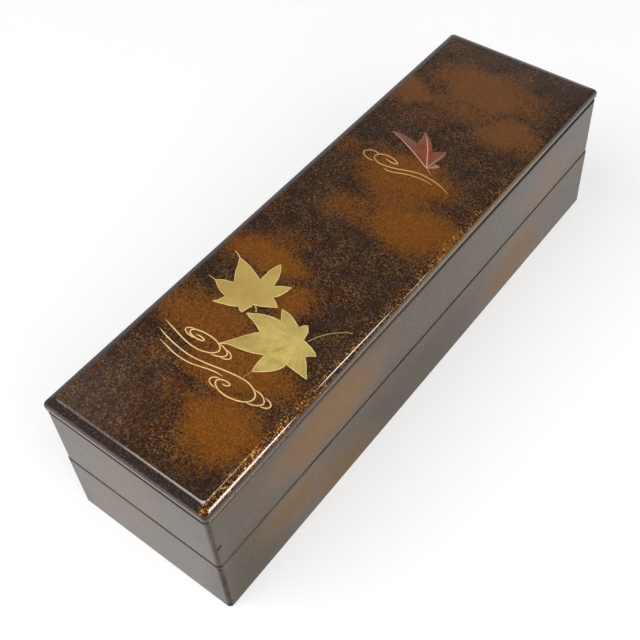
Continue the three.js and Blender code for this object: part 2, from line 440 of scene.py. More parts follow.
def lip_reflection(shader, place, dots):
    """The upright edge of the lid in a plain pale tone, a painted reflection of the bright floor. On the
    right it is brown, then tan, and widens.
    """
    split = shader.parts(place)
    on_right = lid_right(shader, split)
    brown = shader.product(on_right, lid_near(shader, split))
    past_brown = shader.ramp(split[1], -75 * MM, 5 * MM)
    before_far_end = shader.ramp(split[1], 118 * MM, 66 * MM)
    tan = shader.product(on_right, past_brown, before_far_end)
    tone = shader.mix(dots, rgba(86, 78, 68), rgba(102, 94, 83))
    tone = shader.mix(tan, tone, shader.mix(dots, rgba(115, 97, 67), rgba(133, 112, 80)))
    tone = shader.mix(brown, tone, rgba(84, 60, 38))
    widening = shader.ramp(split[1], -110 * MM, 140 * MM, 0.2 * MM, -0.2 * MM)
    height = shader.maths("ADD", split[2], shader.product(on_right, widening))
    return shader.ramp(height, LID_TOP - 1.5 * MM, LID_TOP - 1.95 * MM), tone


def shaded_stretches(shader, place, dots):
    """Painted shade: long low parts of the walls made browner and darker."""
    tone = shader.mix(dots, rgba(73, 52, 14), rgba(91, 68, 22))
    return cloud_mask(shader, place, SIDE_SHADE, SIDE_DRIFT), tone


def reflected_stretches(shader, place, dots):
    """Painted reflection: parts of the walls made paler and greyer, where they mirror the bright floor."""
    tone = shader.mix(dots, rgba(96, 84, 73), rgba(106, 92, 79))
    return cloud_mask(shader, place, SIDE_REFLECTION, SIDE_DRIFT), tone


def plain_inside(shader, place, dots):
    """Dark lacquer with hardly any dust on the inner faces of the walls."""
    absolute = shader.parts(shader.vector("ABSOLUTE", place))
    past_x = shader.maths("SUBTRACT", absolute[0], LOWER_HALF_X - WALL_THICKNESS)
    past_y = shader.maths("SUBTRACT", absolute[1], LOWER_HALF_Y - WALL_THICKNESS)
    inside = shader.ramp(shader.greatest(past_x, past_y), 0.4 * MM, 0.1 * MM)
    return inside, shader.mix(dots, rgba(38, 23, 18), rgba(60, 40, 27))


def lid_wear_and_shade(shader, place):
    """Dark dull parts of the lid: painted shade on its lower edge and underside, the near right upright
    edge, and the rims further off.
    """
    split = shader.parts(place)
    # Painted shade on the lid's lower edge and underside
    low = shader.ramp(split[2], LID_SEAT + SHADOW_GAP + 1.2 * MM, LID_SEAT + SHADOW_GAP)
    upright = shader.ramp(split[2], LID_TOP - 1.9 * MM, LID_TOP - 2.5 * MM, 0.0, 0.22)
    near_right = shader.product(upright, lid_right(shader, split), lid_near(shader, split))
    left_rim = shader.ramp(split[0], 2.2 * MM - LID_HIGH.x, 0.8 * MM - LID_HIGH.x, 0.0, 0.9)
    far_rim = shader.ramp(split[1], LID_HIGH.y - 1.8 * MM, LID_HIGH.y - 0.6 * MM, 0.0, 0.6)
    right_rim = shader.ramp(split[0], LID_HIGH.x - 3 * MM, LID_HIGH.x - 1.2 * MM)
    far_half = shader.ramp(split[1], 30 * MM, 110 * MM, 0.0, 0.5)
    above_lip = shader.ramp(split[2], LID_TOP - 1.9 * MM, LID_TOP - 1.4 * MM)
    far_right_rim = shader.product(right_rim, far_half, above_lip)
    return shader.greatest(low, near_right, left_rim, far_rim, far_right_rim)


def corner_shade(shader, place):
    """Painted shade: dark lines down the corners, where the rounded walls mirror less light, stronger on
    the lower tier.
    """
    absolute = shader.parts(shader.vector("ABSOLUTE", place))
    past_x = shader.maths("SUBTRACT", absolute[0], WALL_HIGH.x - CORNER_RADIUS)
    past_y = shader.maths("SUBTRACT", absolute[1], WALL_HIGH.y - CORNER_RADIUS)
    past_both = shader.maths("MINIMUM", past_x, past_y)
    uneven = shader.ramp(shader.noise(place, 9 * MM, 2.0), 0.3, 0.65, 0.3, 0.5)
    lower_tier = shader.ramp(absolute[2], 38 * MM, 26 * MM, 0.0, 0.25)
    strength = shader.maths("ADD", uneven, lower_tier)
    return shader.product(shader.ramp(past_both, 0.42 * CORNER_RADIUS, 0.7 * CORNER_RADIUS), strength)


def seam_shade(shader, split):
    """Painted shade: a dark line along the joint between the tiers, darker towards the shaded right."""
    across = shader.maths("DIVIDE", split[0], WALL_HIGH.x)
    from_seam = shader.maths("ABSOLUTE", shader.maths("SUBTRACT", split[2], TIER_SPLIT - 0.2 * MM))
    strength = shader.ramp(across, -1.0, 1.0, 0.32, 0.52)
    return shader.product(shader.ramp(from_seam, 0.75 * MM, 0.25 * MM), strength)


def mouth_shade(shader, split):
    """Painted shade: a dark line under the lid's overhang, lower down on the right, where it fades towards
    the near end.
    """
    across = shader.maths("DIVIDE", split[0], WALL_HIGH.x)
    lowered = shader.product(shader.maths("ADD", across, 1.0), 0.4 * MM)
    height = shader.maths("ADD", split[2], lowered)
    on_right = shader.ramp(split[0], WALL_HIGH.x - 3 * MM, WALL_HIGH.x - 0.5 * MM)
    faded = shader.product(on_right, shader.ramp(split[1], 110 * MM, -140 * MM))
    kept = shader.maths("SUBTRACT", 1.0, faded)
    return shader.product(shader.ramp(height, LID_SEAT - 1.0 * MM, LID_SEAT - 0.5 * MM), kept)


def chip_wear(shader, place):
    """The ring-shaped dent and the chips at the front right corner."""
    from_ring = shader.maths("SUBTRACT", shader.distance(place, *DENT), DENT_RADIUS)
    ring = shader.ramp(shader.maths("ABSOLUTE", from_ring), 0.6 * MM, 0.2 * MM)
    chips = [shader.ramp(shader.distance(place, *nick), 1.4 * MM, 0.7 * MM) for nick in NICKS]
    return shader.greatest(ring, *chips)


def side_wear_and_shade(shader, place):
    """Dark dull marks of the walls: painted shade down the corners, along the joint and under the lid, and
    the dent and chips, with a little of the same over the shaded stretches.
    """
    split = shader.parts(place)
    # Painted shade dulls the shaded stretches a little
    dull = shader.product(cloud_mask(shader, place, SIDE_SHADE, SIDE_DRIFT), 0.22)
    marks = (corner_shade(shader, place), seam_shade(shader, split), mouth_shade(shader, split))
    worn_and_shaded = shader.greatest(dull, *marks, chip_wear(shader, place))
    return shader.product(worn_and_shaded, 0.9)


def lid_lacquer():
    colours = {
        "ground": rgba(42, 26, 12),
        "ground_cool": rgba(40, 35, 33),
        "gold_flake": rgba(150, 116, 60),
        "brown_flake": rgba(136, 100, 60),
        "red_flake": rgba(120, 70, 48),
        "cloud": rgba(139, 84, 24),
        "cloud_beyond": rgba(117, 75, 38),
        "cloud_dark": rgba(84, 46, 15),
    }
    settings = {
        "flake_strength": 0.82,
        "mottle_size": 3 * MM,
        "cloud_drift": 22 * MM,
        "cloud_scatter": 1.0,
        "cloud_start": -0.25,
        "cloud_full": 0.45,
        "cloud_turn": (1, 60 * MM, 85 * MM),  # axis, start and end of the change of colour
        "cloud_dulling": 0.0,
        "coat": 1.0,
    }
    over = (end_reflection, shaded_shoulder, edge_glints, lip_reflection)
    return sprinkled_lacquer("speckled_lacquer", LID_CLOUDS, colours, settings, (), over, lid_wear_and_shade)


def side_lacquer():
    colours = {
        "ground": rgba(90, 66, 45),
        "ground_cool": rgba(78, 71, 52),
        "gold_flake": rgba(136, 116, 78),
        "brown_flake": rgba(120, 98, 74),
        "red_flake": rgba(50, 38, 29),
        "cloud": rgba(142, 98, 36),
        "cloud_beyond": rgba(142, 99, 43),
        "cloud_dark": rgba(126, 88, 34),
    }
    settings = {
        "flake_strength": 0.8,
        "mottle_size": 7 * MM,
        "cloud_drift": SIDE_DRIFT,
        "cloud_scatter": 0.0,
        "cloud_start": 0.0,
        "cloud_full": 1.0,
        "cloud_turn": (2, 34 * MM, 42 * MM),
        "cloud_dulling": 0.25,
        "coat": 0.74,
    }
    under = (shaded_stretches, reflected_stretches)
    over = (plain_inside,)
    return sprinkled_lacquer("side_lacquer", SIDE_CLOUDS, colours, settings, under, over, side_wear_and_shade)


def inner_lacquer():
    shader = new_shader("inner_lacquer")
    place = shader.place()
    _, flake, _ = shader.cells(place, 0.6 * MM)
    sparkle = shader.ramp(flake[0], 0.86, 1.0, 0.0, 0.6)
    shade = shader.noise(place, 30 * MM, 3.0)
    ground = shader.mix(shade, rgba(34, 20, 16), rgba(44, 27, 20))
    return shader.finish(
        {
            "Base Color": shader.mix(sparkle, ground, rgba(112, 80, 44)),
            "Roughness": 0.32,
            "Coat Weight": 0.6,
            "Coat Roughness": 0.12,
        }
    )


def key_wood():
    shader = new_shader("bare_wood")
    place = shader.place()
    stretched = shader.vector("MULTIPLY", place, (1.0, 1.0, 9.0))
    grain = shader.noise(stretched, 3 * MM, 4.0)
    return shader.finish(
        {"Base Color": shader.mix(grain, rgba(170, 134, 92), rgba(198, 164, 118)), "Roughness": 0.7}
    )


def brush_strokes(shader, place, heart, depth):
    """Changes of tone that fan out from a leaf's heart, given as a plan position in mm."""
    arm = shader.vector("SUBTRACT", place, (heart[0] * MM, heart[1] * MM, LID_TOP))
    split = shader.parts(arm)
    turn = shader.product(shader.maths("ARCTAN2", split[1], split[0]), 9.0)
    reach = shader.product(shader.vector("LENGTH", arm), 60.0)
    fan = shader.add("ShaderNodeCombineXYZ", {0: turn, 1: reach}).outputs[0]
    return shader.ramp(shader.noise(fan, 1.0, 3.0), 0.35, 0.65, -depth, depth)


def painted_sheen(shader, place, centre):
    """A painted sheen: a paler patch with a mottled tone round a plan position in mm."""
    from_centre = shader.distance(place, *centre, LID_TOP / MM)
    mottle = shader.ramp(shader.noise(place, 4 * MM, 3.0), 0.35, 0.65, 0.3, 1.2)
    return shader.product(shader.ramp(from_centre, 16 * MM, 3 * MM, 0.0, 0.46), mottle)


def gold_powder(name, shadow, light, heart=None, sheen=None, stroke_depth=0.08):
    """Gold powder with a fine grain. A leaf also has strokes, and may have a painted sheen."""
    shader = new_shader(name)
    place = shader.place()
    tilt, grain, _ = shader.cells(place, GOLD_GRAIN_SIZE)
    tone = shader.ramp(shader.noise(place, 14 * MM, 2.0), 0.3, 0.7, 0.1, 0.6)
    if heart:
        tone = shader.maths("ADD", tone, brush_strokes(shader, place, heart, stroke_depth))
    if sheen:
        tone = shader.maths("ADD", tone, painted_sheen(shader, place, sheen))
    mixed = shader.maths("ADD", shader.product(grain[0], 0.2), tone, clamp=True)
    return shader.finish(
        {
            "Base Color": shader.mix(mixed, shadow, light),
            "Metallic": 0.25,
            "Roughness": 0.5,
            "Normal": shader.tilted_normal(tilt, 0.12),
        }
    )


def red_leaf_paint():
    """Thin red powder: brick red in the middle, mauve in the left lobe, tan and pink at the other tips."""
    shader = new_shader("red_leaf")
    place = shader.place()
    _, grain, _ = shader.cells(place, 0.45 * MM)
    split = shader.parts(place)
    tone = shader.ramp(shader.noise(place, 4 * MM, 3.0), 0.35, 0.65)
    colour = shader.mix(tone, rgba(116, 44, 26), rgba(142, 68, 42))
    colour = shader.mix(shader.ramp(split[0], -3 * MM, -10 * MM, 0.0, 0.9), colour, rgba(112, 78, 70))
    colour = shader.mix(shader.ramp(split[1], 64 * MM, 70 * MM), colour, rgba(108, 84, 55))
    colour = shader.mix(shader.ramp(split[0], 3.5 * MM, 8 * MM, 0.0, 0.9), colour, rgba(114, 71, 66))
    small_lobe = shader.product(
        shader.ramp(split[0], 7 * MM, 9 * MM), shader.ramp(split[1], 58 * MM, 55.5 * MM)
    )
    colour = shader.mix(small_lobe, colour, rgba(146, 110, 88))
    colour = shader.mix(shader.ramp(grain[0], 0.5, 1.0, 0.0, 0.5), colour, rgba(84, 52, 40))
    return shader.finish({"Base Color": colour, "Roughness": 0.45, "Coat Weight": 0.3})


def add_piece(name, mesh, material, body, nodes=()):
    """Puts a finished mesh into the scene as one piece of the model."""
    piece = bpy.data.objects.new(name, mesh)
    bpy.context.scene.collection.objects.link(piece)
    mesh.materials.append(material)
    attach(piece, body)
    if nodes:
        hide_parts(*nodes)
    return piece


def shade_smooth(piece, angle=SHARP_ANGLE):
    """Smooth shading that keeps sharp edges, and keeps large flat faces flat."""
    mesh = piece.data
    mesh.polygons.foreach_set("use_smooth", [True] * len(mesh.polygons))
    mesh.set_sharp_from_angle(angle=math.radians(angle))
    weighted = piece.modifiers.new("weighted", "WEIGHTED_NORMAL")
    weighted.keep_sharp = True
    weighted.weight = 100


def mesh_from(name, vertices, faces, merge=True, split=False):
    """A closed mesh with its faces pointing out. It can merge double points and split many-sided faces."""
    mesh = bpy.data.meshes.new(name)
    mesh.from_pydata(vertices, [], faces)
    work = bmesh.new()
    work.from_mesh(mesh)
    if merge:
        bmesh.ops.remove_doubles(work, verts=work.verts, dist=1e-7)
        bmesh.ops.dissolve_degenerate(work, edges=work.edges, dist=1e-8)
    bmesh.ops.recalc_face_normals(work, faces=work.faces)
    if split:
        bmesh.ops.triangulate(work, faces=[face for face in work.faces if len(face.verts) > 4])
    work.to_mesh(mesh)
    work.free()
    return mesh


def shell(total, count):
    """Faces of a closed solid whose points, this many in total, come in rings of this count."""
    faces = [list(range(count)), [total - 1 - step for step in range(count)]]
    for start in range(0, total - count, count):
        for step in range(count):
            a = start + step
            b = start + (step + 1) % count
            faces.append((a, a + count, b + count, b))
    return faces


def rounded_rectangle(half_x, half_y, radius):
    """Plan points of a rectangle with round corners, anticlockwise."""
    points = []
    for sign_x, sign_y, start in ((1, -1, -90), (1, 1, 0), (-1, 1, 90), (-1, -1, 180)):
        for step in range(CORNER_STEPS + 1):
            angle = math.radians(start + 90 * step / CORNER_STEPS)
            x = sign_x * (half_x - radius) + radius * math.cos(angle)
            y = sign_y * (half_y - radius) + radius * math.sin(angle)
            points.append((x, y))
    return points


def shoulder_profile():
    """Insets and heights at an end of the lid, from the upright edge over shoulder and arris to the top."""
    reach = END_SHOULDER_INSET - ARRIS_REACH
    rise = SHOULDER_DROP / (1 + ARRIS_REACH / reach / 4)
    points = []
    for step in range(SHOULDER_STEPS + 1):
        share = step / SHOULDER_STEPS
        points.append((reach * share**2, LID_TOP - SHOULDER_DROP + rise * share))
    for step in range(1, ARRIS_STEPS + 1):
        share = step / ARRIS_STEPS
        points.append((reach + share * ARRIS_REACH, LID_TOP - (SHOULDER_DROP - rise) * (1 - share) ** 2))
    return points


def lid_levels():
    """Insets and heights of the lid board's outlines, from the seat up to the flat top."""
    edge_low = LID_SEAT + SHADOW_GAP
    levels = [
        (SEAT_INSET + SEAT_CHAMFER, LID_SEAT),
        (SEAT_INSET, LID_SEAT + SEAT_CHAMFER),
        (SEAT_INSET, edge_low),
    ]
    for step in range(EDGE_STEPS + 1):
        angle = math.radians(90 * step / EDGE_STEPS)
        inset = LID_EDGE_ROUNDING * (1 - math.sin(angle))
        levels.append((inset, edge_low + LID_EDGE_ROUNDING * (1 - math.cos(angle))))
    return levels + shoulder_profile()


def make_lid_board(material):
    half_x = LID_HIGH.x
    half_y = LID_HIGH.y
    vertices = []
    for inset, height in lid_levels():
        side_inset = inset
        radius = CORNER_RADIUS - SEAT_INSET
        if height >= LID_SEAT + SHADOW_GAP:
            side_inset = inset * SIDE_SHOULDER_SHARE
            radius = CORNER_RADIUS + inset / END_SHOULDER_INSET * (ARRIS_CORNER_RADIUS - CORNER_RADIUS)
        outline = rounded_rectangle(half_x - side_inset, half_y - inset, radius)
        vertices += [(x, y, height) for x, y in outline]
    faces = shell(len(vertices), 4 * (CORNER_STEPS + 1))
    piece = add_piece(
        "lid_board_lacquered", mesh_from("lid_board", vertices, faces), material,
        "lid", ["lid_board"],
    )
    shade_smooth(piece, LID_SHARP_ANGLE)


SIDES = {"right": (1, 0), "back": (0, 1), "left": (-1, 0), "front": (0, -1)}


def wall_profile(base, top, mouth_rounding):
    """Depth behind the outer face and height, round one wall's cross-section."""
    shelf = base + FLOOR_THICKNESS
    points = []

    def corner(depth, height, radius, start):
        for step in range(EDGE_STEPS + 1):
            angle = math.radians(start + 90 * step / EDGE_STEPS)
            points.append((depth + radius * math.cos(angle), height + radius * math.sin(angle)))

    corner(EDGE_ROUNDING, base + EDGE_ROUNDING, EDGE_ROUNDING, 180)
    points.append((WALL_THICKNESS - FLOOR_RABBET, base))
    points.append((WALL_THICKNESS - FLOOR_RABBET, shelf))
    points.append((WALL_THICKNESS, shelf))
    corner(WALL_THICKNESS - INNER_ROUNDING, top - INNER_ROUNDING, INNER_ROUNDING, 0)
    corner(mouth_rounding, top - mouth_rounding, mouth_rounding, 90)
    return points


def wall_stations(across, along):
    """Where a wall's cross-section stands, from mitre to mitre, seen along its outward side."""
    stations = []
    for sign, start in ((-1, -45), (1, 0)):
        for step in range(CORNER_STEPS // 2 + 1):
            angle = math.radians(start + 90 * step / CORNER_STEPS)
            stations.append((across, sign * along, angle))
    return stations


def point_behind(station, depth):
    """The point this far behind the outer face of a rounded corner."""
    across, along, angle = station
    if depth >= CORNER_RADIUS:
        return across - depth, math.copysign(abs(along) - depth, along)
    radius = CORNER_RADIUS - depth
    u = across - CORNER_RADIUS + radius * math.cos(angle)
    v = math.copysign(abs(along) - CORNER_RADIUS, along) + radius * math.sin(angle)
    return u, v


def make_wall(tier, side, material):
    node = f"{tier}_wall_{side}"
    low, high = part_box(node)
    half_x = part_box(f"{tier}_wall_right")[1].x
    half_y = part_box(f"{tier}_wall_back")[1].y
    out_x, out_y = SIDES[side]
    across, along = (half_x, half_y) if out_x else (half_y, half_x)
    profile = wall_profile(low.z, high.z, MOUTH_ROUNDING if tier == "upper_tier" else EDGE_ROUNDING)
    vertices = []
    for station in wall_stations(across, along):
        for depth, height in profile:
            u, v = point_behind(station, depth)
            vertices.append((out_x * u - out_y * v, out_y * u + out_x * v, height))
    faces = shell(len(vertices), len(profile))
    piece = add_piece(
        f"{node}_lacquered", mesh_from(node, vertices, faces), material, tier, [node]
    )
    shade_smooth(piece)


def make_rounded_board(node, body, rounding, material):
    """A plain board with its edges eased."""
    low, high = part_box(node)
    work = bmesh.new()
    bmesh.ops.create_cube(work, size=1.0)
    for vertex in work.verts:
        for axis in range(3):
            vertex.co[axis] = low[axis] if vertex.co[axis] < 0 else high[axis]
    bmesh.ops.bevel(
        work, geom=work.edges, offset=rounding, segments=BOARD_STEPS, profile=0.5, affect="EDGES"
    )
    mesh = bpy.data.meshes.new(node)
    work.to_mesh(mesh)
    work.free()
    piece = add_piece(f"{node}_lacquered", mesh, material, body, [node])
    shade_smooth(piece)


def curve_point(a, b, c, d, t):
    """The point at share t from b to c, on a smooth curve through all four."""
    bend = 2 * a - 5 * b + 4 * c - d
    twist = 3 * b - a - 3 * c + d
    return 0.5 * (2 * b + (c - a) * t + bend * t * t + twist * t**3)


def smooth_path(points, spacing):
    """A smooth curve through the given points, with points at about this spacing."""
    points = [Vector(point) for point in points]
    ends = [2 * points[0] - points[1], *points, 2 * points[-1] - points[-2]]
    path = []
    for a, b, c, d in zip(ends, ends[1:], ends[2:], ends[3:]):
        steps = max(2, round((c - b).length / spacing))
        path += [curve_point(a, b, c, d, step / steps) for step in range(steps)]
    path.append(points[-1])
    return path


def ribbon(points, width, height, taper_start, taper_end):
    """Vertices and faces of a low rounded line that follows plan points in mm."""
    path = smooth_path(points, LINE_SPACING)
    lengths = [0.0]
    for before, after in zip(path, path[1:]):
        lengths.append(lengths[-1] + (after - before).length)
    section = [(-0.5, -0.2), (-0.4, 0.6), (-0.15, 1.0), (0.15, 1.0), (0.4, 0.6), (0.5, -0.2)]
    vertices = []
    for index, point in enumerate(path):
        run = path[min(index + 1, len(path) - 1)] - path[max(index - 1, 0)]
        side = Vector((-run.y, run.x)).normalized()
        from_start = min(1.0, lengths[index] / taper_start) if taper_start else 1.0
        from_end = min(1.0, (lengths[-1] - lengths[index]) / taper_end) if taper_end else 1.0
        share = LINE_TIP_SHARE + (1 - LINE_TIP_SHARE) * min(from_start, from_end)
        for across, up in section:
            spot = point + side * across * width * share
            vertices.append((spot.x * MM, spot.y * MM, LID_TOP + up * height * MM))
    return vertices, shell(len(vertices), len(section))


def make_lines(name, material, lines):
    """Several painted lines as one piece. Each line is (points, width, taper at start, taper at end)."""
    vertices = []
    faces = []
    for points, width, taper_start, taper_end in lines:
        more_vertices, more_faces = ribbon(points, width, LINE_HEIGHT, taper_start, taper_end)
        faces += [[index + len(vertices) for index in face] for face in more_faces]
        vertices += more_vertices
    mesh = mesh_from(name, vertices, faces, merge=False)
    add_piece(name, mesh, material, "lid")
    mesh.polygons.foreach_set("use_smooth", [True] * len(mesh.polygons))
    mesh.set_sharp_from_angle(angle=math.radians(LINE_SHARP_ANGLE))


def leaf_curves(edges):
    """The points of each edge of a leaf, with the start of the next edge as the last one."""
    return [[*edge, following[0]] for edge, following in zip(edges, edges[1:] + edges[:1])]


def make_leaf(name, material, edges, height):
    """A flat painted leaf, a little thicker than the lacquer round it."""
    outline = []
    for curve in leaf_curves(edges):
        outline += smooth_path(curve, OUTLINE_SPACING)[:-1]
    levels = (LID_TOP - LEAF_SINK * MM, LID_TOP + height * MM)
    vertices = [(point.x * MM, point.y * MM, level) for level in levels for point in outline]
    mesh = mesh_from(name, vertices, shell(len(vertices), len(outline)), split=True)
    add_piece(name, mesh, material, "lid")


def leaf_rim(edges, width):
    """The raised line round a leaf, as lines for make_lines."""
    return [(curve, width, 1, 1) for curve in leaf_curves(edges)]


# Painted ornament, plan positions on the lid in mm
# A leaf is a list of edges. Each one starts at a tip or a notch and runs to the start of the next.
UPPER_LEAF = [
    [(-13.4, -50.9), (-13.6, -47.0), (-13.4, -43.0)],
    [(-12.0, -38.3), (-9.3, -41.8), (-7.8, -45.0), (-6.8, -49.0)],
    [(-6.2, -50.2), (-3.5, -48.3)],
    [(0.6, -46.2), (0.0, -50.0), (-1.0, -53.0)],
    [(-2.7, -55.4), (-0.5, -56.3)],
    [(2.8, -58.4), (0.0, -60.0), (-3.5, -62.0)],
    [(-6.8, -63.0), (-7.6, -66.0)],
    [(-8.2, -69.5)],
    [(-10.5, -68.6)],
    [(-11.5, -67.7), (-15.0, -69.5), (-18.0, -70.4)],
    [(-22.8, -71.9), (-21.0, -69.5)],
    [(-20.0, -66.5), (-23.0, -65.8), (-26.0, -64.5)],
    [(-30.0, -62.1), (-27.5, -60.3), (-25.0, -59.4)],
    [(-22.0, -58.4), (-25.5, -53.5), (-27.5, -49.5)],
    [(-29.8, -45.7), (-24.0, -46.8), (-19.0, -48.5)],
]
LOWER_LEAF = [
    [(9.3, -63.6), (6.9, -60.8)],
    [(5.0, -58.0), (10.0, -58.6), (13.9, -60.2)],
    [(17.1, -61.9), (18.3, -59.9)],
    [(19.6, -58.8), (21.7, -61.3), (22.5, -64.1)],
    [(23.0, -65.9), (27.2, -66.9), (30.6, -68.3)],
    [(32.7, -69.6), (30.6, -70.5)],
    [(28.9, -72.4), (31.7, -75.2), (34.4, -78.6)],
    [(36.7, -80.9)],
    [(25.0, -79.8), (24.7, -81.9), (22.8, -85.2), (19.4, -88.3), (16.7, -90.2)],
    [(15.8, -90.8), (14.9, -86.9)],
    [(14.6, -81.3), (8.9, -83.6), (3.3, -84.9), (-1.7, -85.8)],
    [(-5.0, -87.8), (-2.8, -84.7), (-0.6, -81.3), (2.2, -76.9)],
    [(5.4, -73.0), (0.0, -70.5)],
    [(-6.3, -68.6), (0.0, -65.2), (5.0, -63.8)],
]
RED_LEAF = [
    [(6.1, 50.5), (0.3, 53.6), (-8.6, 57.9), (-16.7, 61.4)],
    [(-23.2, 63.6), (-17.5, 64.2), (-11.0, 63.5)],
    [(-7.3, 62.3), (-8.0, 67.3)],
    [(-9.2, 72.0), (-3.9, 68.4), (0.0, 64.3)],
    [(2.2, 61.3), (4.5, 63.0)],
    [(8.0, 65.4), (8.2, 60.8)],
    [(6.9, 55.4)],
    [(11.0, 55.0), (9.3, 52.5)],
]
UPPER_EDDY = [
    (-32.6, -91.3), (-25, -93.1), (-20, -94.3), (-15, -95.1), (-10, -95.1), (-6, -94.1), (-3.4, -92.6),
    (-2.3, -90.8), (-3.3, -88.9), (-6, -87.6), (-10, -86.9), (-15, -87.1), (-18.3, -88.0), (-19.6, -89.3),
    (-18.6, -90.6), (-16, -91.2), (-13, -91.1), (-11.2, -90.4), (-12.2, -89.6), (-14.3, -89.4),
    (-16.2, -89.8),
]
LOWER_EDDY = [
    (-31.5, -96.1), (-25, -97.8), (-20, -98.7), (-15, -99.3), (-10, -99.4), (-5, -98.9), (0, -98.1),
    (5, -97.1), (10, -96.3), (15, -95.8), (18.5, -96.0), (22, -97.1), (24.6, -99.0), (25.2, -101.0),
    (24, -103.3), (20.5, -105.1), (15, -106.1), (10.5, -105.6), (7.9, -104.3), (6.8, -102.7), (7.8, -101.4),
    (10, -100.6), (12.4, -100.7), (12.9, -101.5), (11.4, -102.5), (9.6, -102.3),
]
SHORT_STREAM = [
    (-26.8, -100.5), (-22.5, -101.3), (-17.5, -102.3), (-12.5, -102.6), (-7.5, -102.2), (-2.5, -101.0),
    (1.0, -100.1), (4.5, -99.6), (7.5, -99.5),
]
CRESCENTS = [
    [(-18.4, -87.6), (-20.6, -88.3), (-22.0, -89.6), (-21.2, -90.8), (-19.0, -91.5), (-15.5, -91.7)],
    [(-4.6, -87.6), (-1.6, -88.2), (0.9, -89.2), (1.8, -90.6), (1.0, -92.1), (-1.2, -93.2), (-4.2, -94.1)],
    [(-0.2, -88.4), (2.4, -89.0), (3.9, -90.1), (4.0, -91.3), (2.6, -92.4), (0.4, -93.0)],
    [(7.6, -101.0), (5.4, -101.6), (4.1, -103.0), (4.7, -104.5), (6.4, -105.3), (8.8, -105.7)],
    [
        (22.6, -96.9), (26.4, -97.4), (28.9, -98.7), (29.9, -100.4), (28.6, -102.2), (26.2, -103.3),
        (23.7, -103.8),
    ],
    [(28.8, -97.6), (31.5, -98.2), (33.1, -99.6), (32.2, -101.2), (29.6, -102.2)],
]
FAR_EDDY = [
    (24.6, 41.3), (20, 43.4), (15, 44.8), (10, 45.4), (5, 45.4), (0, 44.1), (-5, 42.3), (-10, 41.1),
    (-15, 40.7), (-18.2, 41.8), (-19.6, 43.6), (-18.9, 45.7), (-16.4, 47.1), (-12.9, 47.4), (-9, 46.4),
    (-7.2, 45.2), (-9, 44.4), (-12, 44.7), (-14, 45.1),
]
FAR_CRESCENT = [
    (-18.6, 46.0), (-22.1, 46.6), (-25.0, 45.4), (-26.1, 43.6), (-24.6, 41.6), (-21.4, 40.5), (-18.2, 40.5),
]
FAR_STREAM = [(-11.1, 38.9), (-8.6, 38.6), (-5, 39.4), (0, 41.4), (5, 42.5), (10, 42.9), (14.5, 42.5)]


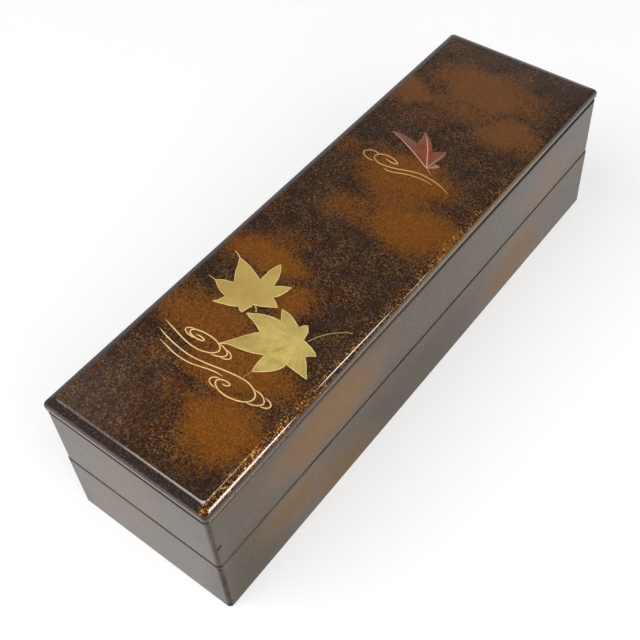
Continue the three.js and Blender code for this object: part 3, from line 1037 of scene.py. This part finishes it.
def make_ornament():
    upper_gold = gold_powder("gold_leaf_upper", rgba(167, 137, 65), rgba(195, 167, 88), (-9, -66))
    lower_gold = gold_powder(
        "gold_leaf_lower", rgba(152, 126, 58), rgba(198, 175, 94), (23, -67), (18, -77), stroke_depth=0.14
    )
    rim_gold = gold_powder("gold_rim", rgba(206, 179, 106), rgba(239, 214, 145))
    line_gold = gold_powder("gold_line", rgba(203, 168, 100), rgba(236, 207, 137))
    far_gold = gold_powder("gold_line_far", rgba(172, 132, 66), rgba(204, 164, 94))
    dull_gold = gold_powder("gold_line_dull", rgba(142, 110, 56), rgba(172, 138, 80))
    pale_pink = gold_powder("vein_pale", rgba(198, 138, 102), rgba(226, 172, 132))
    dull_pink = gold_powder("rim_pink", rgba(124, 80, 66), rgba(156, 108, 88))
    make_leaf("gold_leaf_upper", upper_gold, UPPER_LEAF, LEAF_HEIGHT)
    make_leaf("gold_leaf_lower", lower_gold, LOWER_LEAF, LEAF_HEIGHT)
    make_leaf("red_leaf", red_leaf_paint(), RED_LEAF, RED_LEAF_HEIGHT)
    streams = [
        (UPPER_EDDY, STREAM_WIDTH, 6, 2),
        (LOWER_EDDY, STREAM_WIDTH, 6, 2),
        (SHORT_STREAM, STREAM_WIDTH, 6, 4),
    ]
    streams += [(points, CRESCENT_WIDTH, 2, 2) for points in CRESCENTS]
    make_lines("water_lines_front", line_gold, streams)
    far_streams = [
        (FAR_EDDY, 0.74, 9, 2),
        (FAR_CRESCENT, 0.66, 1, 1),
        (FAR_STREAM, 0.70, 2, 6),
    ]
    make_lines("water_lines_far", far_gold, far_streams)
    rims = leaf_rim(UPPER_LEAF, GOLD_RIM_WIDTH) + leaf_rim(LOWER_LEAF, GOLD_RIM_WIDTH)
    rims += [
        ([(-29.6, -62.1), (-32, -61.8), (-34.3, -61.6)], 0.5, 0, 4),
        ([(-29.4, -45.9), (-31.8, -44.6), (-34.4, -43.6)], 0.55, 0, 4),
        ([(-6.7, -63.0), (-4.8, -64.0), (-3.1, -65.8)], 0.42, 0, 0),
    ]
    make_lines("gold_leaf_rims", rim_gold, rims)
    stems = [
        (
            [(24.9, -65.2), (26.9, -61.0), (29.4, -57.4), (32.8, -54.1), (35.6, -51.9), (37.8, -51.4)],
            0.5, 0, 0,
        ),
        ([(15.8, -90.5), (15.2, -93.0), (14.4, -95.8)], 0.46, 0, 4),
    ]
    make_lines("leaf_stems", dull_gold, stems)
    veins = [
        ([(6.2, 50.7), (3.1, 55.5), (-0.6, 61.7), (-5.1, 67.6), (-8.9, 71.7)], 0.62, 0, 8),
        ([(6.3, 50.7), (6.5, 55.1), (7.3, 60.0), (7.8, 65.0)], 0.40, 0, 8),
        ([(6.4, 50.6), (8.4, 52.8), (10.8, 54.8)], 0.36, 0, 3),
        ([(6.4, 50.4), (8.4, 49.0), (10.7, 47.8)], 0.34, 0, 3),
        ([(6.1, 50.5), (0.3, 53.6), (-8.6, 57.9), (-16.7, 61.4), (-23.0, 63.5)], 0.52, 0, 12),
    ]
    make_lines("red_leaf_veins", pale_pink, veins)
    make_lines("red_leaf_rim", dull_pink, leaf_rim(RED_LEAF, RED_RIM_WIDTH)[1:])


def make_box():
    lid_finish = lid_lacquer()
    side_finish = side_lacquer()
    inner_finish = inner_lacquer()
    wood = key_wood()
    make_lid_board(lid_finish)
    for tier in ("upper_tier", "lower_tier"):
        for side in SIDES:
            make_wall(tier, side, side_finish)
        make_rounded_board(f"{tier}_floor", tier, FLOOR_ROUNDING, inner_finish)
    for side in SIDES:
        make_rounded_board(f"lid_strip_{side}", "lid", STRIP_ROUNDING, inner_finish)
        make_rounded_board(f"upper_tier_foot_strip_{side}", "upper_tier", STRIP_ROUNDING, inner_finish)
    for name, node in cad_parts.items():
        if "_key_" in name:
            node.data.materials.clear()
            node.data.materials.append(wood)


def stand(thing, place, right, up, back):
    """Puts a camera or lamp at a place, with its right, its top and its back turned to these directions."""
    turn = Matrix((right, up, back)).transposed().to_4x4()
    thing.matrix_world = Matrix.Translation(place) @ turn
    bpy.context.scene.collection.objects.link(thing)


def make_camera():
    back = Vector(
        (
            math.sin(VIEW_AZIMUTH) * math.cos(VIEW_ELEVATION),
            -math.cos(VIEW_AZIMUTH) * math.cos(VIEW_ELEVATION),
            math.sin(VIEW_ELEVATION),
        )
    )
    level_right = Vector((0, 0, 1)).cross(back).normalized()
    level_up = back.cross(level_right)
    right = level_right * math.cos(VIEW_ROLL) + level_up * math.sin(VIEW_ROLL)
    up = back.cross(right)
    target = Vector((0, 0, VIEW_TARGET_HEIGHT)) + right * VIEW_SIDEWAYS + up * VIEW_UPWARDS
    camera = bpy.data.objects.new("camera", bpy.data.cameras.new("camera"))
    stand(camera, target + back * VIEW_DISTANCE, right, up, back)
    camera.data.sensor_width = SENSOR_WIDTH
    camera.data.lens = FOCAL_PIXELS * SENSOR_WIDTH / PHOTO_PIXELS
    camera.data.shift_x = 0.5 - OPTICAL_CENTRE[0] / PHOTO_PIXELS
    camera.data.shift_y = OPTICAL_CENTRE[1] / PHOTO_PIXELS - 0.5
    camera.data.clip_start = 0.01
    bpy.context.scene.camera = camera


def make_lamp(name, place, target, size, power, lean):
    """An area lamp, or with a lean an oval that shows only in gloss."""
    data = bpy.data.lights.new(name, "AREA")
    data.shape = "ELLIPSE" if lean else "RECTANGLE"
    data.size, data.size_y = size
    data.energy = power
    lamp = bpy.data.objects.new(name, data)
    back = (Vector(place) - Vector(target)).normalized()
    level = Vector(lean or (1, 0, 0))
    along = (level - back * level.dot(back)).normalized()
    stand(lamp, place, along, back.cross(along), back)
    lamp.visible_glossy = bool(lean)
    lamp.visible_diffuse = not lean
    lamp.visible_camera = False


def make_floor():
    shader = new_shader("floor")
    diffuse = shader.add("ShaderNodeBsdfDiffuse", {"Color": (0.5, 0.5, 0.5, 1)})
    glow = shader.add("ShaderNodeEmission", {"Color": (1, 1, 1, 1), "Strength": FLOOR_GLOW})
    both = shader.add("ShaderNodeAddShader", {0: diffuse.outputs[0], 1: glow.outputs[0]})
    path = shader.add("ShaderNodeLightPath").outputs
    seen = shader.greatest(path["Is Camera Ray"], path["Is Glossy Ray"], path["Is Transmission Ray"])
    surface = shader.add("ShaderNodeMixShader", {0: seen, 1: diffuse.outputs[0], 2: both.outputs[0]})
    shader.add("ShaderNodeOutputMaterial", {"Surface": surface.outputs[0]})
    mesh = bpy.data.meshes.new("floor")
    corners = [(-1, -1), (1, -1), (1, 1), (-1, 1)]
    mesh.from_pydata([(x * FLOOR_HALF, y * FLOOR_HALF, 0) for x, y in corners], [], [(0, 1, 2, 3)])
    mesh.materials.append(shader.owner)
    floor = bpy.data.objects.new("floor", mesh)
    floor.location.z = -FLOOR_DROP
    bpy.context.scene.collection.objects.link(floor)


def make_world():
    """White behind the object, and a dim ceiling over a paler horizon around it."""
    world = bpy.data.worlds.new("studio")
    bpy.context.scene.world = world
    shader = Shader(world)
    upward = shader.parts(shader.add("ShaderNodeTexCoord").outputs["Generated"])[2]
    dim = shader.ramp(upward, 0.2, 0.8, 0.55, 0.08)
    seen = shader.add("ShaderNodeLightPath").outputs["Is Camera Ray"]
    values = {"Color": (1, 1, 1, 1), "Strength": shader.greatest(seen, dim)}
    background = shader.add("ShaderNodeBackground", values)
    shader.add("ShaderNodeOutputWorld", {"Surface": background.outputs[0]})


def make_studio():
    make_world()
    make_floor()
    for name, settings in LAMPS.items():
        make_lamp(name, *settings)
    bpy.context.scene.view_settings.view_transform = "Standard"


make_camera()
make_studio()
make_box()
make_ornament()
